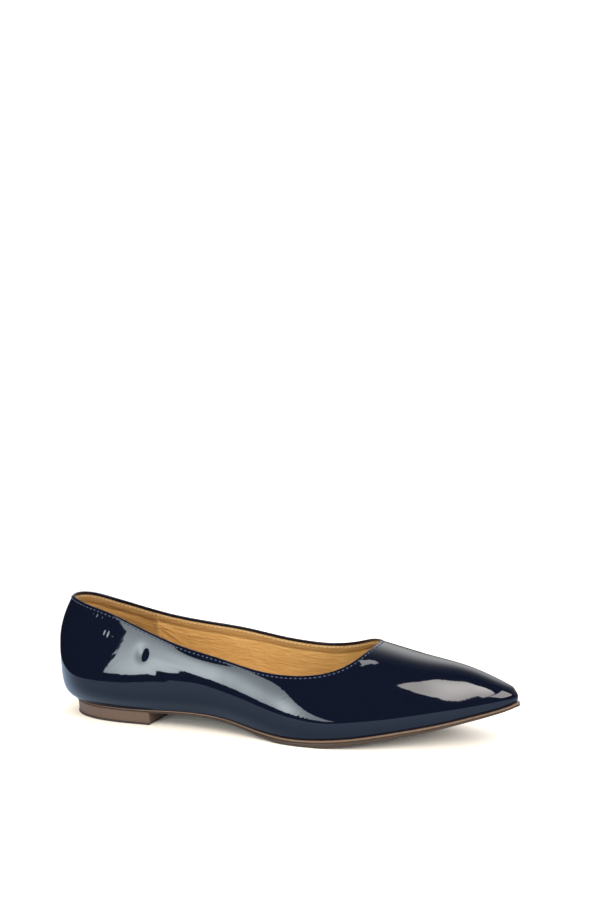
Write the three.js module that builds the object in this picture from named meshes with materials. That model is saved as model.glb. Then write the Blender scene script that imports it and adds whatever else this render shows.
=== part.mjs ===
// A woman's pointed toe flat: a hollow upper with a scooped topline, an insole,
// an outsole with a beaded edge, and a low heel with its top piece.
// Millimetres, Z up, the toe along +X, the outer side of this right shoe along -Y.

import * as THREE from 'three';

// Driving sizes
const featherLength = 252.5; // the last's lower edge, from the back of the heel to the toe point
const ballWidth = 75; // between the two sides of the feather line at the ball of the foot
const heelRound = 17; // plan radius of the heel seat at its back
const toeRound = 4.3; // plan radius of the toe point
const soleAtBall = 3.5; // thickness of the outsole under the ball
const heelRise = 5.1; // height of the heel seat above the ball
const toeSpring = 18.8; // height of the toe point above the ball
const fullness = 10; // how far the wall swells past the feather line around the heel
const archSwell = 6; // how far the inner wall leans out over the hollow of the arch
const featherRound = 4; // height of the turn from the bottom into the wall
const backHeight = 60; // heel seat to the collar's highest point, at the back seam
const instepHeight = 50; // bottom of the last to its ridge, near the throat
const wall = 1.8; // patent leather with its lining
const margin = 12; // width of the leather that is lasted under the insole
const clearance = 0.3; // between pieces that meet
const insoleThickness = 2.2;
const edgeReach = 1.8; // how far the outsole stands out past the upper at the toe
const edgeGroove = 0.45; // depth of the groove under the bead on the outsole's edge
const breastAt = 55.5; // from the back of the heel seat to the heel's front face, on the middle line
const breastTurn = THREE.MathUtils.degToRad(6); // the heel points a little to the outer side
const heelInset = 0.5; // how far the heel's top edge stays inside the outsole
const heelTaper = 0.7; // how much each side of the heel narrows to the floor
const topPieceThickness = 1.2;
const topPieceReach = 0.25; // how far the top piece stands out past the heel

// How finely the surfaces are cut
const quarterSteps = 36; // along the topline, from the back seam to the throat
const vampSteps = 22; // from the throat to the toe
const wallSteps = 9; // from the feather line up to the topline or the ridge
const soleSteps = 54; // along the outsole
const insoleSteps = 40;
const heelSteps = 14;

// The last, a row for each section from the back of the heel to the toe point.
// at: share of featherLength. lateral, medial: half-widths, shares of ballWidth.
// rise, spring: shares of heelRise and toeSpring. sole: thickness, share of soleAtBall.
// edge: share of edgeReach. low, swell, high: how far the wall stands out, shares of
// fullness. arch: share of archSwell.
const planColumns = ['at', 'lateral', 'medial', 'rise', 'spring', 'sole', 'edge', 'low', 'swell', 'high', 'arch'];
const planRows = [
  [0.00, 0.000, 0.000, 1.00, 0.000, 0.40, 0.05, 0.80, 1.02, 1.16, 0.00],
  [0.02, 0.171, 0.171, 1.00, 0.000, 0.40, 0.05, 0.74, 0.98, 0.96, 0.00],
  [0.06, 0.272, 0.272, 0.98, 0.000, 0.40, 0.05, 0.58, 1.16, 0.60, 0.00],
  [0.12, 0.328, 0.328, 0.98, 0.000, 0.40, 0.05, 0.42, 1.04, 0.30, 0.00],
  [0.20, 0.339, 0.328, 1.02, 0.000, 0.45, 0.08, 0.36, 0.90, 0.28, 0.13],
  [0.30, 0.339, 0.301, 1.14, 0.000, 0.56, 0.12, 0.32, 0.73, 0.33, 0.50],
  [0.38, 0.359, 0.293, 0.90, 0.000, 0.62, 0.20, 0.30, 0.63, 0.23, 0.83],
  [0.46, 0.427, 0.328, 0.27, 0.000, 0.76, 0.40, 0.26, 0.48, 0.08, 1.00],
  [0.53, 0.499, 0.389, 0.00, 0.000, 1.08, 0.62, 0.22, 0.33, -0.14, 0.77],
  [0.60, 0.517, 0.453, 0.00, 0.027, 1.20, 0.72, 0.20, 0.19, -0.32, 0.33],
  [0.67, 0.489, 0.488, 0.00, 0.117, 1.05, 0.76, 0.18, 0.16, -0.50, 0.10],
  [0.75, 0.413, 0.453, 0.00, 0.277, 0.90, 0.78, 0.16, 0.14, -0.55, 0.00],
  [0.83, 0.315, 0.353, 0.00, 0.452, 0.74, 0.80, 0.14, 0.12, -0.45, 0.00],
  [0.90, 0.212, 0.235, 0.00, 0.644, 0.64, 0.85, 0.12, 0.10, -0.32, 0.00],
  [0.96, 0.120, 0.125, 0.00, 0.835, 0.58, 0.95, 0.10, 0.09, -0.18, 0.00],
  [1.00, 0.000, 0.000, 0.00, 1.000, 0.58, 1.00, 0.09, 0.07, -0.10, 0.00],
];

// The heights of the same sections. back, instep: the ridge's height, shares of
// backHeight and instepHeight, added. lowUp: share of featherRound. swellUp, highUp,
// shoulderUp: shares of the ridge's height. shoulderIn: share of the way to the ridge.
const riseColumns = ['at', 'back', 'instep', 'lowUp', 'swellUp', 'highUp', 'shoulderUp', 'shoulderIn'];
const riseRows = [
  [0.00, 1.40, 0.00, 1.00, 0.238, 0.500, 0.786, 0.00],
  [0.02, 1.40, 0.00, 1.00, 0.216, 0.500, 0.786, 0.01],
  [0.06, 1.40, 0.00, 1.00, 0.160, 0.492, 0.774, 0.08],
  [0.12, 1.30, 0.08, 1.00, 0.136, 0.494, 0.780, 0.14],
  [0.20, 1.10, 0.26, 1.00, 0.137, 0.490, 0.760, 0.17],
  [0.30, 0.80, 0.52, 1.00, 0.155, 0.470, 0.757, 0.22],
  [0.38, 0.55, 0.72, 1.00, 0.170, 0.473, 0.768, 0.26],
  [0.46, 0.32, 0.92, 1.00, 0.176, 0.471, 0.785, 0.32],
  [0.53, 0.15, 1.04, 1.00, 0.182, 0.482, 0.803, 0.38],
  [0.60, 0.05, 1.06, 1.00, 0.200, 0.486, 0.813, 0.42],
  [0.67, 0.00, 1.00, 1.00, 0.240, 0.500, 0.840, 0.46],
  [0.75, 0.00, 0.84, 1.00, 0.262, 0.548, 0.881, 0.50],
  [0.83, 0.00, 0.67, 0.95, 0.299, 0.597, 0.910, 0.52],
  [0.90, 0.00, 0.52, 0.80, 0.308, 0.615, 0.915, 0.55],
  [0.96, 0.00, 0.33, 0.65, 0.361, 0.723, 0.916, 0.55],
  [1.00, 0.00, 0.17, 0.50, 0.465, 0.767, 0.930, 0.60],
];

// The topline, from the back seam to the throat. at: share of featherLength.
// lateral, medial: share of each section, from the feather line up to the ridge.
const toplineColumns = ['at', 'lateral', 'medial'];
const toplineRows = [
  [0.000, 0.742, 0.742],
  [0.050, 0.727, 0.700],
  [0.160, 0.680, 0.655],
  [0.300, 0.612, 0.651],
  [0.440, 0.604, 0.675],
  [0.560, 0.638, 0.700],
  [0.650, 0.717, 0.780],
  [0.708, 0.860, 0.895],
  [0.730, 1.000, 1.000],
];

// The outsole's edge, from its top down. out: share of edgeGroove, from the edge
// line. up: share of the outsole's thickness there.
const edgeProfile = [
  { out: -1.2, up: 1.00 },
  { out: 0.0, up: 0.90 },
  { out: 0.0, up: 0.64 },
  { out: -1.0, up: 0.56 },
  { out: -1.0, up: 0.46 },
  { out: -0.2, up: 0.38 },
  { out: -0.3, up: 0.14 },
  { out: -1.5, up: 0.00 },
];

const fan = 0.8; // how far each section turns to stand square on the outline

// A smooth curve through points: a cubic between each pair, with the same slope and
// curvature on both sides of every point. An end slope left out gives a free end.
function smoothCurve(xs, ys, startSlope, endSlope) {
  const last = xs.length - 1;
  const gap = xs.slice(1).map((x, i) => x - xs[i]);
  const rise = gap.map((h, i) => (ys[i + 1] - ys[i]) / h);
  const lower = new Array(last + 1).fill(0);
  const middle = new Array(last + 1).fill(1);
  const upper = new Array(last + 1).fill(0);
  const right = new Array(last + 1).fill(0);
  for (let i = 1; i < last; i++) {
    lower[i] = gap[i - 1];
    middle[i] = 2 * (gap[i - 1] + gap[i]);
    upper[i] = gap[i];
    right[i] = 6 * (rise[i] - rise[i - 1]);
  }
  if (startSlope !== undefined) {
    middle[0] = 2 * gap[0];
    upper[0] = gap[0];
    right[0] = 6 * (rise[0] - startSlope);
  }
  if (endSlope !== undefined) {
    lower[last] = gap[last - 1];
    middle[last] = 2 * gap[last - 1];
    right[last] = 6 * (endSlope - rise[last - 1]);
  }
  for (let i = 1; i <= last; i++) {
    const share = lower[i] / middle[i - 1];
    middle[i] -= share * upper[i - 1];
    right[i] -= share * right[i - 1];
  }
  const bend = new Array(last + 1).fill(0);
  bend[last] = right[last] / middle[last];
  for (let i = last - 1; i >= 0; i--) bend[i] = (right[i] - upper[i] * bend[i + 1]) / middle[i];
  const span = (x) => {
    let i = 0;
    while (i < last - 1 && x > xs[i + 1]) i++;
    return i;
  };
  return {
    value(x) {
      const i = span(x);
      const t = x - xs[i];
      const slope = rise[i] - gap[i] * (2 * bend[i] + bend[i + 1]) / 6;
      return ys[i] + t * (slope + t * (bend[i] / 2 + t * (bend[i + 1] - bend[i]) / (6 * gap[i])));
    },
    slope(x) {
      const i = span(x);
      const t = x - xs[i];
      const slope = rise[i] - gap[i] * (2 * bend[i] + bend[i + 1]) / 6;
      return slope + t * (bend[i] + t * (bend[i + 1] - bend[i]) / (2 * gap[i]));
    },
  };
}

// Sections are spaced by an angle along the last, from 0 at the heel to 1 at the toe,
// so that both ends of an outline come out round.
const angleOf = (share) => Math.acos(THREE.MathUtils.clamp(1 - 2 * share, -1, 1)) / Math.PI;
const shareOf = (angle) => (1 - Math.cos(Math.PI * angle)) / 2;

// The slope of a half-width against that angle, at an end of a given plan radius
const endSlope = (radius) => Math.PI * Math.sqrt(radius * featherLength / 2);

function readTable(columns, rows, isWidth) {
  const angles = rows.map((row) => angleOf(row[0]));
  const curves = {};
  columns.slice(1).forEach((name, i) => {
    const values = rows.map((row) => row[i + 1]);
    const start = isWidth(name) ? endSlope(heelRound) / ballWidth : 0;
    const end = isWidth(name) ? -endSlope(toeRound) / ballWidth : 0;
    curves[name] = smoothCurve(angles, values, start, end);
  });
  return curves;
}
const plan = readTable(planColumns, planRows, (name) => name === 'lateral' || name === 'medial');
const heights = readTable(riseColumns, riseRows, () => false);

// The topline's place along the shoe and up each section, by an even step from
// 0 at the back seam to 1 at the throat. It crosses the ridge square at the throat.
const toplineSteps = toplineRows.map((row, i) => i / (toplineRows.length - 1));
const topline = {
  angle: smoothCurve(toplineSteps, toplineRows.map((row) => angleOf(row[0])), undefined, 0),
  lateral: smoothCurve(toplineSteps, toplineRows.map((row) => row[1]), 0, undefined),
  medial: smoothCurve(toplineSteps, toplineRows.map((row) => row[2]), 0, undefined),
};
const throatAngle = angleOf(toplineRows[toplineRows.length - 1][0]);

// The two sides: -1 is the outer, lateral side, and 1 the inner, medial side
const sideName = (side) => (side < 0 ? 'lateral' : 'medial');

// Height of the last's bottom, which also is the outsole's upper face, along X
const angleAtX = (x) => angleOf(x / featherLength);
function seatHeight(x) {
  const angle = angleAtX(x);
  return soleAtBall + heelRise * plan.rise.value(angle) + toeSpring * plan.spring.value(angle);
}
function soleThickness(x) {
  return soleAtBall * plan.sole.value(angleAtX(x));
}
const treadHeight = (x) => Math.max(0, seatHeight(x) - soleThickness(x));

// Where the sections from both sides meet over the middle line: they turn square on
// the outline, more so at the round ends.
function middleX(angle) {
  const along = featherLength * Math.PI / 2 * Math.sin(Math.PI * angle);
  const lean = (name) => ballWidth ** 2 * plan[name].value(angle) * plan[name].slope(angle);
  if (angle < 1e-5) return fan * heelRound;
  if (angle > 1 - 1e-5) return featherLength - fan * toeRound;
  return featherLength * shareOf(angle) + fan * (lean('lateral') + lean('medial')) / (2 * along);
}

// A point of the feather line, with the direction that points out of the outline there
function featherPoint(angle, side) {
  const name = sideName(side);
  const x = featherLength * shareOf(angle);
  const out = new THREE.Vector3(
    -fan * ballWidth * plan[name].slope(angle),
    side * featherLength * Math.PI / 2 * Math.sin(Math.PI * angle),
    0,
  ).normalize();
  return { point: new THREE.Vector3(x, side * ballWidth * plan[name].value(angle), seatHeight(x)), out };
}

function ridgeHeight(angle) {
  return backHeight * heights.back.value(angle) + instepHeight * heights.instep.value(angle);
}

// The control points of one section, from the feather line up to the ridge. The first
// one lies before the feather line and the last one past the ridge, so that the curve
// starts on the feather line and runs level over the ridge.
function sectionControls(angle, side) {
  const { point, out } = featherPoint(angle, side);
  const ridge = ridgeHeight(angle);
  const arch = side > 0 ? archSwell * plan.arch.value(angle) : 0;
  const standing = (reach, up) => point.clone().addScaledVector(out, reach).setZ(point.z + up);
  const low = standing(
    fullness * plan.low.value(angle) + arch / 2,
    featherRound * heights.lowUp.value(angle),
  );
  const swell = standing(fullness * plan.swell.value(angle) + arch, ridge * heights.swellUp.value(angle));
  const high = standing(fullness * plan.high.value(angle) + arch, ridge * heights.highUp.value(angle));
  const middle = new THREE.Vector3(middleX(angle), 0, point.z + ridge);
  const inward = heights.shoulderIn.value(angle);
  const halfWidth = ballWidth * (plan.lateral.value(angle) + plan.medial.value(angle)) / 2;
  const shoulder = new THREE.Vector3(
    THREE.MathUtils.lerp(point.x, middle.x, inward),
    side * (1 - inward) * (halfWidth + archSwell * plan.arch.value(angle) / 2),
    point.z + ridge * heights.shoulderUp.value(angle),
  );
  const before = point.clone().multiplyScalar(2).sub(low);
  const past = shoulder.clone().setY(-shoulder.y);
  return [before, point, low, swell, high, shoulder, middle, past];
}

// The outside of the last: angle along it, and share up the section
function lastPoint(angle, share, side) {
  const controls = sectionControls(angle, side);
  const spans = controls.length - 3;
  const along = THREE.MathUtils.clamp(share, 0, 1) * spans;
  const first = Math.min(Math.floor(along), spans - 1);
  const t = along - first;
  const weights = [
    (1 - t) ** 3 / 6,
    (3 * t ** 3 - 6 * t ** 2 + 4) / 6,
    (-3 * t ** 3 + 3 * t ** 2 + 3 * t + 1) / 6,
    t ** 3 / 6,
  ];
  const point = new THREE.Vector3();
  weights.forEach((weight, i) => point.addScaledVector(controls[first + i], weight));
  return point;
}

// The direction out of the last, from two short steps along its surface. On the middle
// line it is the mean of both sides, so that they share their points there.
function sideNormal(angle, share, side) {
  const step = 0.004;
  const nearEnd = 0.012;
  const a = THREE.MathUtils.clamp(angle, nearEnd, 1 - nearEnd);
  const s = THREE.MathUtils.clamp(share, 0, 1 - step);
  const along = lastPoint(a + step, s, side).sub(lastPoint(a - step, s, side));
  const up = lastPoint(a, s + step, side).sub(lastPoint(a, Math.max(0, s - step), side));
  return along.cross(up).multiplyScalar(-side).normalize();
}

function lastNormal(angle, share, side) {
  const normal = sideNormal(angle, share, side);
  const onMiddle = angle === 0 || angle === 1 || share === 1;
  return onMiddle ? normal.add(sideNormal(angle, share, -side)).setY(0).normalize() : normal;
}

// The inside of the wall. Its lowest line lies on top of the lasted margin, where the
// wall's thickness turns the corner.
function innerPoint(angle, share, side) {
  if (share > 0) {
    return lastPoint(angle, share, side).addScaledVector(lastNormal(angle, share, side), -wall);
  }
  return innerCorner(angle, side, 0).setZ(seatHeight(featherLength * shareOf(angle)) + wall);
}

function innerCorner(angle, side, room) {
  const [, point, low] = sectionControls(angle, side);
  const { out } = featherPoint(angle, side);
  const steepness = Math.atan2(low.z - point.z, low.clone().sub(point).dot(out));
  return point.addScaledVector(out, -wall * Math.tan(steepness / 2) - room);
}

// A body built from strips of faces, with points that coincide shared
class Body {
  constructor() {
    this.points = [];
    this.faces = [];
    this.places = new Map();
  }

  index(point) {
    const key = [point.x, point.y, point.z].map((value) => Math.round(value * 1e4)).join(' ');
    if (!this.places.has(key)) {
      this.places.set(key, this.points.length);
      this.points.push(point);
    }
    return this.places.get(key);
  }

  face(a, b, c) {
    const [i, j, k] = [a, b, c].map((point) => this.index(point));
    if (i !== j && j !== k && k !== i) this.faces.push(i, j, k);
  }

  // Faces between neighbouring rows of points, seen from outside with the rows going
  // right and each next row above; flip turns them over.
  sheet(rows, flip) {
    for (let r = 0; r + 1 < rows.length; r++) {
      for (let c = 0; c + 1 < rows[r].length; c++) {
        const corners = [rows[r][c], rows[r][c + 1], rows[r + 1][c + 1], rows[r + 1][c]];
        if (flip) corners.reverse();
        this.face(corners[0], corners[1], corners[2]);
        this.face(corners[0], corners[2], corners[3]);
      }
    }
  }

  mesh(name, material) {
    const geometry = new THREE.BufferGeometry();
    geometry.setAttribute('position', new THREE.Float32BufferAttribute(
      this.points.flatMap((point) => [point.x, point.y, point.z]),
      3,
    ));
    geometry.setIndex(this.faces);
    geometry.computeVertexNormals();
    const mesh = new THREE.Mesh(geometry, material);
    mesh.name = name;
    return mesh;
  }
}

const evenly = (steps) => Array.from({ length: steps + 1 }, (unused, i) => i / steps);
const sides = [-1, 1];

// Share of the way from the feather line to the middle that the lasted margin covers
function marginShare(angle, side) {
  const halfWidth = ballWidth * plan[sideName(side)].value(angle);
  return margin / Math.hypot(halfWidth, margin * 1.2);
}

// A point on the way from the feather line to the middle line, on the last's bottom
function bottomPoint(angle, side, share) {
  const { point } = featherPoint(angle, side);
  const x = THREE.MathUtils.lerp(point.x, middleX(angle), share);
  const y = share >= 1 ? 0 : point.y * (1 - share);
  return new THREE.Vector3(x, y, seatHeight(x));
}
const raised = (point, up) => point.clone().setZ(point.z + up);

function makeUpper() {
  const body = new Body();
  for (const side of sides) {
    const name = sideName(side);
    const quarter = evenly(quarterSteps).map((step) => ({
      angle: step === 1 ? throatAngle : topline.angle.value(step),
      top: step === 1 ? 1 : topline[name].value(step),
    }));
    const vamp = evenly(vampSteps).map((step) => ({
      angle: THREE.MathUtils.lerp(throatAngle, 1, step),
      top: 1,
    }));
    const surface = (sections, pointAt) => evenly(wallSteps).map(
      (up) => sections.map(({ angle, top }) => pointAt(angle, up * top, side)),
    );
    const outward = side < 0;
    for (const sections of [quarter, vamp]) {
      body.sheet(surface(sections, lastPoint), !outward);
      body.sheet(surface(sections, innerPoint), outward);
    }
    const rim = [lastPoint, innerPoint].map(
      (pointAt) => quarter.map(({ angle, top }) => pointAt(angle, top, side)),
    );
    body.sheet(rim, !outward);
    const angles = [...quarter, ...vamp.slice(1)].map(({ angle }) => angle);
    const under = [
      angles.map((angle) => innerPoint(angle, 0, side)),
      angles.map((angle) => raised(bottomPoint(angle, side, marginShare(angle, side)), wall)),
      angles.map((angle) => bottomPoint(angle, side, marginShare(angle, side))),
      angles.map((angle) => lastPoint(angle, 0, side)),
    ];
    body.sheet(under, !outward);
  }
  return body;
}

// The insole board lies on the lasted margin, and its middle fills the hollow between
// the two margins down to the outsole.
function makeInsole() {
  const body = new Body();
  const onMargin = wall + clearance;
  const sideGap = clearance + 0.1;
  for (const side of sides) {
    const angles = evenly(insoleSteps);
    const rim = angles.map((angle) => innerCorner(angle, side, sideGap));
    const seated = (point, up) => new THREE.Vector3(point.x, point.y, seatHeight(point.x) + up);
    const filler = angles.map((angle) => {
      const { point } = featherPoint(angle, side);
      const reach = Math.hypot(middleX(angle) - point.x, point.y);
      return bottomPoint(angle, side, marginShare(angle, side) + sideGap / reach);
    });
    const middle = angles.map((angle) => bottomPoint(angle, side, 1));
    body.sheet([
      middle,
      filler,
      filler.map((point) => raised(point, onMargin)),
      rim.map((point) => seated(point, onMargin)),
      rim.map((point) => seated(point, onMargin + insoleThickness)),
      middle.map((point) => raised(point, onMargin + insoleThickness)),
    ], side > 0);
  }
  return body;
}

// A point on the outsole's edge line, set out from the feather line
function edgePoint(angle, side, out) {
  const name = sideName(side);
  const { point } = featherPoint(angle, side);
  const square = new THREE.Vector3(
    -ballWidth * plan[name].slope(angle),
    side * featherLength * Math.PI / 2 * Math.sin(Math.PI * angle),
    0,
  ).normalize();
  return point.addScaledVector(square, edgeReach * plan.edge.value(angle) + out);
}

function makeOutsole() {
  const body = new Body();
  for (const side of sides) {
    const angles = evenly(soleSteps);
    const edge = edgeProfile.map(({ out, up }) => angles.map((angle) => {
      const point = edgePoint(angle, side, out * edgeGroove);
      const top = seatHeight(point.x) - clearance;
      return point.setZ(THREE.MathUtils.lerp(treadHeight(point.x), top, up));
    }));
    const middle = angles.map((angle) => bottomPoint(angle, side, 1));
    body.sheet([
      middle.map((point) => raised(point, -clearance)),
      ...edge,
      middle.map((point) => point.clone().setZ(treadHeight(point.x))),
    ], side < 0);
  }
  return body;
}

// A block under the heel seat, with the outline of the seat and a straight front face
// that is turned a little to the outer side
function makeHeelBlock(topInset, bottomInset, topAt, bottomAt) {
  const body = new Body();
  const breastX = (y) => breastAt + y * Math.tan(breastTurn);
  const ring = (side, inset, heightAt) => {
    const cornerY = edgePoint(angleAtX(breastAt), side, -inset).y;
    const cornerAngle = angleAtX(breastX(cornerY));
    return evenly(heelSteps).map((step) => {
      const point = edgePoint(step * cornerAngle, side, -inset);
      if (step === 1) point.setX(breastX(point.y));
      return point.setZ(heightAt(point.x));
    });
  };
  const [topOuter, topInner] = sides.map((side) => ring(side, topInset, topAt));
  const [bottomOuter, bottomInner] = sides.map((side) => ring(side, bottomInset, bottomAt));
  body.sheet([bottomOuter, topOuter], false);
  body.sheet([topOuter, topInner], false);
  body.sheet([topInner, bottomInner], false);
  body.sheet([bottomInner, bottomOuter], false);
  const corners = [bottomOuter, topOuter, topInner, bottomInner].map((row) => row[heelSteps]);
  body.face(corners[0], corners[2], corners[1]);
  body.face(corners[0], corners[3], corners[2]);
  return body;
}

function makeHeel() {
  const bottom = topPieceThickness + clearance;
  const bottomInset = heelInset + heelTaper;
  return makeHeelBlock(heelInset, bottomInset, (x) => treadHeight(x) - clearance, () => bottom);
}

function makeTopPiece() {
  const inset = heelInset + heelTaper - topPieceReach;
  return makeHeelBlock(inset, inset, () => topPieceThickness, () => 0);
}

const patent = new THREE.MeshStandardMaterial({ color: 0x0e1526, roughness: 0.08, metalness: 0 });
const sock = new THREE.MeshStandardMaterial({ color: 0xc8914f, roughness: 0.6, metalness: 0 });
const soleRubber = new THREE.MeshStandardMaterial({ color: 0x8c7467, roughness: 0.55, metalness: 0 });
const heelRubber = new THREE.MeshStandardMaterial({ color: 0x7c6256, roughness: 0.55, metalness: 0 });
const treadRubber = new THREE.MeshStandardMaterial({ color: 0x4d3b34, roughness: 0.7, metalness: 0 });

const group = new THREE.Group();
group.add(
  makeUpper().mesh('upper', patent),
  makeInsole().mesh('insole', sock),
  makeOutsole().mesh('outsole', soleRubber),
  makeHeel().mesh('heel', heelRubber),
  makeTopPiece().mesh('heel_top_piece', treadRubber),
);

// The origin is under the middle of the shoe's box, on the floor
const box = new THREE.Box3().setFromObject(group);
const centre = box.getCenter(new THREE.Vector3());
group.position.set(-centre.x, -centre.y, 0);
group.updateMatrixWorld(true);

export default group;
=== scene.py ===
# %% [markdown]
# # A pointed toe flat in navy patent leather
# One right shoe stands on a pale floor: a low-cut upper of dark navy patent leather with a tan
# leather lining, a thin taupe sole with a pale bead, and a low heel block with a ribbed top
# piece. Every visible piece is worked out again here with numpy, finer than the CAD solids and
# with the same formula for the last, so that both agree in shape.

# %% Frame
import bpy
import numpy as np
from mathutils import Matrix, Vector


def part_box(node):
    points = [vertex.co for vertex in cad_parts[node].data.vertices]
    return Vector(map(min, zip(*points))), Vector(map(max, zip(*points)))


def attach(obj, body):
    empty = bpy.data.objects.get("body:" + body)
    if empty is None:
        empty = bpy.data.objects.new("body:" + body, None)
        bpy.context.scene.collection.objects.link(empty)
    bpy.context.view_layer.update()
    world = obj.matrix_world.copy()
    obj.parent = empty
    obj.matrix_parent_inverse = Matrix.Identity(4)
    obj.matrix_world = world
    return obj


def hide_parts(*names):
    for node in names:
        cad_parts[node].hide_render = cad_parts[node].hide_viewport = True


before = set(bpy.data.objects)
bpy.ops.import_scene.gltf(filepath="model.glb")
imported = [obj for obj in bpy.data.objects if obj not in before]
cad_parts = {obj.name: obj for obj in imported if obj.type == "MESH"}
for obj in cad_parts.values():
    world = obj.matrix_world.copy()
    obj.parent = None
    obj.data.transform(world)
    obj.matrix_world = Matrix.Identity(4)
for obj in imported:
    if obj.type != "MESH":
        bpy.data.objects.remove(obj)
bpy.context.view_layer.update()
print("CAD solids:", sorted(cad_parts))

# %% [markdown]
# ## The last
# A shoe takes its shape from the last that it is pulled over. Its surface is a row of cross
# sections. Each one is a soft curve through a few control points, and the points follow smooth
# curves from heel to toe. That gives an even surface with a crisp feather line, which a
# mirror-like leather needs: every bump of a hand-sculpted mesh would show in the gloss.
# Lengths are in mm. X runs from the heel to the toe, Y to the inner side, Z up.

# %% Sizes of the last
feather_length = 252.5
ball_width = 75.0
heel_round = 17.0
toe_round = 4.3
sole_at_ball = 3.5
heel_rise = 5.1
toe_spring = 18.8
fullness = 10.0
arch_swell = 6.0
feather_round = 4.0
back_height = 60.0
instep_height = 50.0
edge_reach = 1.8
fan = 0.8

# at: share of feather_length. lateral, medial: shares of ball_width. rise: of heel_rise.
# spring: of toe_spring. sole: of sole_at_ball. edge: of edge_reach. low, swell, high: of
# fullness. arch: of arch_swell.
plan_columns = "at lateral medial rise spring sole edge low swell high arch".split()
plan_rows = np.array([
    [0.00, 0.000, 0.000, 1.00, 0.000, 0.40, 0.05, 0.80, 1.02, 1.16, 0.00],
    [0.02, 0.171, 0.171, 1.00, 0.000, 0.40, 0.05, 0.74, 0.98, 0.96, 0.00],
    [0.06, 0.272, 0.272, 0.98, 0.000, 0.40, 0.05, 0.58, 1.16, 0.60, 0.00],
    [0.12, 0.328, 0.328, 0.98, 0.000, 0.40, 0.05, 0.42, 1.04, 0.30, 0.00],
    [0.20, 0.339, 0.328, 1.02, 0.000, 0.45, 0.08, 0.36, 0.90, 0.28, 0.13],
    [0.30, 0.339, 0.301, 1.14, 0.000, 0.56, 0.12, 0.32, 0.73, 0.33, 0.50],
    [0.38, 0.359, 0.293, 0.90, 0.000, 0.62, 0.20, 0.30, 0.63, 0.23, 0.83],
    [0.46, 0.427, 0.328, 0.27, 0.000, 0.76, 0.40, 0.26, 0.48, 0.08, 1.00],
    [0.53, 0.499, 0.389, 0.00, 0.000, 1.08, 0.62, 0.22, 0.33, -0.14, 0.77],
    [0.60, 0.517, 0.453, 0.00, 0.027, 1.20, 0.72, 0.20, 0.19, -0.32, 0.33],
    [0.67, 0.489, 0.488, 0.00, 0.117, 1.05, 0.76, 0.18, 0.16, -0.50, 0.10],
    [0.75, 0.413, 0.453, 0.00, 0.277, 0.90, 0.78, 0.16, 0.14, -0.55, 0.00],
    [0.83, 0.315, 0.353, 0.00, 0.452, 0.74, 0.80, 0.14, 0.12, -0.45, 0.00],
    [0.90, 0.212, 0.235, 0.00, 0.644, 0.64, 0.85, 0.12, 0.10, -0.32, 0.00],
    [0.96, 0.120, 0.125, 0.00, 0.835, 0.58, 0.95, 0.10, 0.09, -0.18, 0.00],
    [1.00, 0.000, 0.000, 0.00, 1.000, 0.58, 1.00, 0.09, 0.07, -0.10, 0.00],
])

# back, instep: the ridge's height in shares of back_height and instep_height, added.
# low_up: share of feather_round. swell_up, high_up, shoulder_up: shares of the ridge's
# height. shoulder_in: share of the way to the ridge.
rise_columns = "at back instep low_up swell_up high_up shoulder_up shoulder_in".split()
rise_rows = np.array([
    [0.00, 1.40, 0.00, 1.00, 0.238, 0.500, 0.786, 0.00],
    [0.02, 1.40, 0.00, 1.00, 0.216, 0.500, 0.786, 0.01],
    [0.06, 1.40, 0.00, 1.00, 0.160, 0.492, 0.774, 0.08],
    [0.12, 1.30, 0.08, 1.00, 0.136, 0.494, 0.780, 0.14],
    [0.20, 1.10, 0.26, 1.00, 0.137, 0.490, 0.760, 0.17],
    [0.30, 0.80, 0.52, 1.00, 0.155, 0.470, 0.757, 0.22],
    [0.38, 0.55, 0.72, 1.00, 0.170, 0.473, 0.768, 0.26],
    [0.46, 0.32, 0.92, 1.00, 0.176, 0.471, 0.785, 0.32],
    [0.53, 0.15, 1.04, 1.00, 0.182, 0.482, 0.803, 0.38],
    [0.60, 0.05, 1.06, 1.00, 0.200, 0.486, 0.813, 0.42],
    [0.67, 0.00, 1.00, 1.00, 0.240, 0.500, 0.840, 0.46],
    [0.75, 0.00, 0.84, 1.00, 0.262, 0.548, 0.881, 0.50],
    [0.83, 0.00, 0.67, 0.95, 0.299, 0.597, 0.910, 0.52],
    [0.90, 0.00, 0.52, 0.80, 0.308, 0.615, 0.915, 0.55],
    [0.96, 0.00, 0.33, 0.65, 0.361, 0.723, 0.916, 0.55],
    [1.00, 0.00, 0.17, 0.50, 0.465, 0.767, 0.930, 0.60],
])

# The topline in even steps from the back seam to the throat: share of feather_length, and
# share of each side's section from the feather line up to the ridge
topline_rows = np.array([
    [0.000, 0.742, 0.742],
    [0.050, 0.727, 0.700],
    [0.160, 0.680, 0.655],
    [0.300, 0.612, 0.651],
    [0.440, 0.604, 0.675],
    [0.560, 0.638, 0.700],
    [0.650, 0.717, 0.780],
    [0.708, 0.860, 0.895],
    [0.730, 1.000, 1.000],
])
LATERAL, MEDIAL = -1, 1

# %% [markdown]
# A last maker fairs a last with a flexible batten held at a few points. A cubic spline does
# the same: no jump in slope or bend, so no kink shows in the gloss.

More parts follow.
